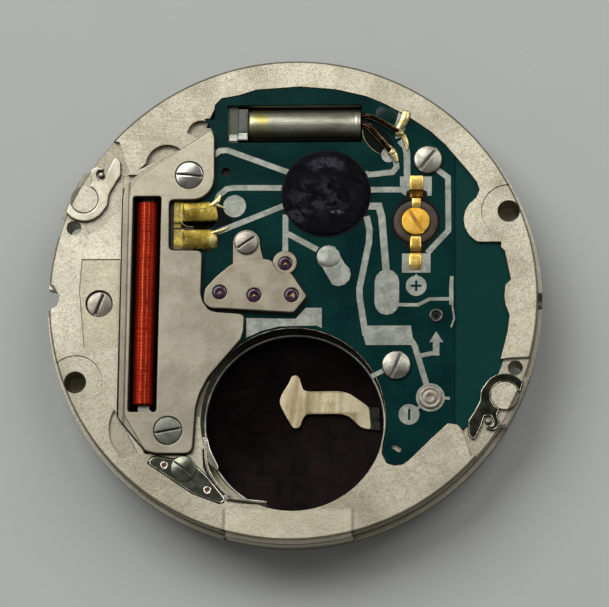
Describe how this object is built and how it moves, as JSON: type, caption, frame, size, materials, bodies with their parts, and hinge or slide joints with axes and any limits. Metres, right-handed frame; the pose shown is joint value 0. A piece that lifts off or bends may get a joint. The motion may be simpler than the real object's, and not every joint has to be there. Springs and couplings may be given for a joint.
{
  "type": "watch movement",
  "caption": "Thin round quartz watch movement with date, circuit side up, with battery well, coil, wheel train, date ring and setting work.",
  "frame": {"origin": "centre of the dial seat, on the hands' axis", "axes": "+Z from the dial towards the circuit side (case back), +X along the stem towards the crown"},
  "size_m": [0.0261, 0.026, 0.0044],
  "materials": {
    "nickel": "fine frosted nickel plating",
    "cover_nickel": "satin nickel plating",
    "steel": "polished steel",
    "dark_steel": "dark polished steel",
    "board": "dark green glass-fibre laminate",
    "tin": "tinned copper",
    "resin": "glossy black resin",
    "can": "plated drawn can",
    "gilt": "gilt strip",
    "ceramic_brown": "brown ceramic",
    "lacquer": "red-brown lacquered copper wire",
    "iron": "soft magnetic alloy",
    "brass": "turned brass",
    "magnet": "sintered magnet",
    "ruby": "synthetic ruby",
    "cream_strip": "pale plated spring strip",
    "film": "dark insulating film",
    "flex": "dark laminate",
    "white_print": "white lacquer with black numerals"
  },
  "bodies": {
    "plate": {"main_plate": "nickel", "circuit_board": "board", "circuit_tracks": "tin", "ic_blob": "resin", "quartz_can": "can", "quartz_leads": "gilt", "solder_joints": "tin", "trimmer_body": "ceramic_brown", "trimmer_terminals": "gilt", "coil_winding": "lacquer", "coil_core": "iron", "coil_flex": "flex", "coil_terminals": "gilt", "coil_cover": "cover_nickel", "cover_screws": "steel", "stator": "iron", "train_bridge": "cover_nickel", "bridge_jewels": "ruby", "plate_jewels": "ruby", "bridge_screw": "steel", "circuit_screws": "steel", "contact_rivets": "steel", "negative_contact": "cream_strip", "battery_insulator": "film", "battery_clamp": "dark_steel", "clamp_screw": "dark_steel", "clamp_pins": "steel", "rim_screw": "steel", "setting_spring": "steel", "date_cover": "nickel", "date_cover_screws": "steel"},
    "seconds_hand_arbor": {"seconds_wheel": "brass"},
    "rotor": {"rotor_magnet": "magnet", "rotor_shaft": "steel"},
    "intermediate": {"intermediate_wheel": "brass"},
    "third": {"third_wheel": "brass"},
    "cannon": {"cannon_pinion": "steel", "centre_wheel": "brass"},
    "minute_work": {"minute_wheel": "brass"},
    "hour": {"hour_wheel": "brass"},
    "idler": {"date_idler": "brass"},
    "date_drive": {"date_driving_wheel": "brass"},
    "setting": {"setting_wheel": "brass"},
    "date_disc": {"date_ring": "white_print"},
    "jumper": {"date_jumper": "steel"},
    "trimmer_disc": {"trimmer_rotor": "gilt"},
    "foot_lock_a": {"dial_foot_clamp_a": "nickel"},
    "foot_lock_b": {"dial_foot_clamp_b": "dark_steel"},
    "lever": {"setting_lever": "steel"},
    "yoke_lever": {"yoke": "steel"},
    "pinion": {"sliding_pinion": "steel"}
  },
  "joints": [
    {"name": "seconds_turn", "type": "hinge", "parent": "plate", "child": "seconds_hand_arbor", "pos_m": [0, 0, 0], "axis": [0, 0, 1], "continuous": true},
    {"name": "rotor_turn", "type": "hinge", "parent": "plate", "child": "rotor", "pos_m": [-0.00377, 0.00016, 0], "axis": [0, 0, 1], "continuous": true},
    {"name": "intermediate_turn", "type": "hinge", "parent": "plate", "child": "intermediate", "pos_m": [-0.00197, 0, 0], "axis": [0, 0, 1], "continuous": true},
    {"name": "third_turn", "type": "hinge", "parent": "plate", "child": "third", "pos_m": [-0.00037, 0.00174, 0], "axis": [0, 0, 1], "continuous": true},
    {"name": "minutes_turn", "type": "hinge", "parent": "plate", "child": "cannon", "pos_m": [0, 0, 0], "axis": [0, 0, 1], "continuous": true},
    {"name": "minute_wheel_turn", "type": "hinge", "parent": "plate", "child": "minute_work", "pos_m": [0.00218, 0.00101, 0], "axis": [0, 0, 1], "continuous": true},
    {"name": "hours_turn", "type": "hinge", "parent": "plate", "child": "hour", "pos_m": [0, 0, 0], "axis": [0, 0, 1], "continuous": true},
    {"name": "idler_turn", "type": "hinge", "parent": "plate", "child": "idler", "pos_m": [-0.00283, 0.00184, 0], "axis": [0, 0, 1], "continuous": true},
    {"name": "date_drive_turn", "type": "hinge", "parent": "plate", "child": "date_drive", "pos_m": [-0.0035, 0.00606, 0], "axis": [0, 0, 1], "continuous": true},
    {"name": "setting_wheel_turn", "type": "hinge", "parent": "plate", "child": "setting", "pos_m": [0.00514, 0.00054, 0], "axis": [0, 0, 1], "continuous": true},
    {"name": "date_turn", "type": "hinge", "parent": "plate", "child": "date_disc", "pos_m": [0, 0, 0], "axis": [0, 0, 1], "continuous": true},
    {"name": "trimmer_turn", "type": "hinge", "parent": "plate", "child": "trimmer_disc", "pos_m": [0.00644, 0.00397, 0], "axis": [0, 0, 1], "continuous": true},
    {"name": "jumper_swing", "type": "hinge", "parent": "plate", "child": "jumper", "pos_m": [-0.0076, -0.0012, 0], "axis": [0, 0, 1], "range_deg": [0, 5.5], "stiffness_Nm_per_rad": 0.000001, "springref_deg": -5.73},
    {"name": "foot_lock_a_turn", "type": "hinge", "parent": "plate", "child": "foot_lock_a", "pos_m": [-0.01108, 0.00527, 0], "axis": [0, 0, 1], "range_deg": [-6, 6]},
    {"name": "foot_lock_b_turn", "type": "hinge", "parent": "plate", "child": "foot_lock_b", "pos_m": [0.01108, -0.00527, 0], "axis": [0, 0, 1], "range_deg": [-6, 6]},
    {"name": "setting_lever_turn", "type": "hinge", "parent": "plate", "child": "lever", "pos_m": [0.0099, 0.002, 0], "axis": [0, 0, 1], "range_deg": [0, 13]},
    {"name": "yoke_turn", "type": "hinge", "parent": "plate", "child": "yoke_lever", "pos_m": [0.0064, 0.0023, 0], "axis": [0, 0, 1], "range_deg": [-13, 0]},
    {"name": "sliding_pinion_slide", "type": "slide", "parent": "plate", "child": "pinion", "axis": [1, 0, 0], "range_m": [-0.00047, 0]}
  ],
  "couplings": [
    {"joint": "rotor_turn", "follows": "seconds_turn", "ratio": 30},
    {"joint": "intermediate_turn", "follows": "seconds_turn", "ratio": -3},
    {"joint": "third_turn", "follows": "seconds_turn", "ratio": -0.083333},
    {"joint": "minutes_turn", "follows": "seconds_turn", "ratio": 0.016667},
    {"joint": "minute_wheel_turn", "follows": "seconds_turn", "ratio": -0.0055556},
    {"joint": "hours_turn", "follows": "seconds_turn", "ratio": 0.0013889},
    {"joint": "idler_turn", "follows": "seconds_turn", "ratio": -0.00050505},
    {"joint": "date_drive_turn", "follows": "seconds_turn", "ratio": 0.00069444},
    {"joint": "setting_wheel_turn", "follows": "seconds_turn", "ratio": 0.0083333},
    {"joint": "setting_lever_turn", "follows": "sliding_pinion_slide", "rad_per_m": -476.19},
    {"joint": "yoke_turn", "follows": "sliding_pinion_slide", "rad_per_m": 466.67}
  ]
}
